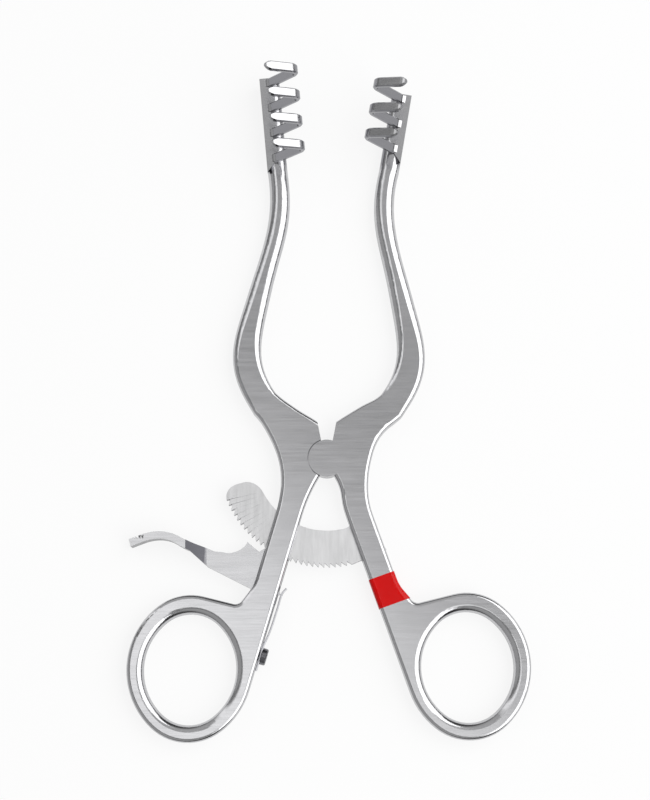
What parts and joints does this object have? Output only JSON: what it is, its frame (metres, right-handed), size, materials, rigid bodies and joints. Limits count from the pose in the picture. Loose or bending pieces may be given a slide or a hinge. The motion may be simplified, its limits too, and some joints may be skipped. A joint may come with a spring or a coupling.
{
  "type": "self retaining retractor",
  "caption": "Ring-handled self retaining retractor with crossed levers, hooked prongs at the tips, a toothed bar and a spring-loaded thumb release that hold the spread.",
  "frame": {"origin": "on the axis of the pivot screw, in the plane of the back faces of both levers", "axes": "+X to the side with three prongs, +Y from the pivot towards the prongs, +Z out of the front face, the way the prongs point"},
  "size_m": [0.0954, 0.162, 0.0191],
  "materials": {
    "lever_steel": "satin",
    "bar_steel": "satin",
    "release_steel": "satin",
    "pin_steel": "satin",
    "screw_steel": "satin",
    "spring_steel": "bright",
    "red_tape": "gloss"
  },
  "bodies": {
    "left_half": {"left_lever": "lever_steel", "lever_pin": "pin_steel", "leaf_spring": "spring_steel", "spring_screw": "screw_steel"},
    "right_half": {"right_lever": "lever_steel", "pivot_screw": "screw_steel", "ratchet_bar": "bar_steel", "identification_tape": "red_tape", "ratchet_rivet_1": "pin_steel", "ratchet_rivet_2": "pin_steel"},
    "release": {"release_lever": "release_steel"}
  },
  "joints": [
    {"name": "main_hinge", "type": "hinge", "parent": "left_half", "child": "right_half", "pos_m": [0, 0, 0], "axis": [0, 0, -1], "range_deg": [-15, 33]},
    {"name": "release_hinge", "type": "hinge", "parent": "left_half", "child": "release", "pos_m": [-0.0126, -0.0272, 0], "axis": [0, 0, 1], "range_deg": [-6, 5], "stiffness_Nm_per_rad": 0.05, "springref_deg": -6, "deforming": ["leaf_spring"]}
  ]
}
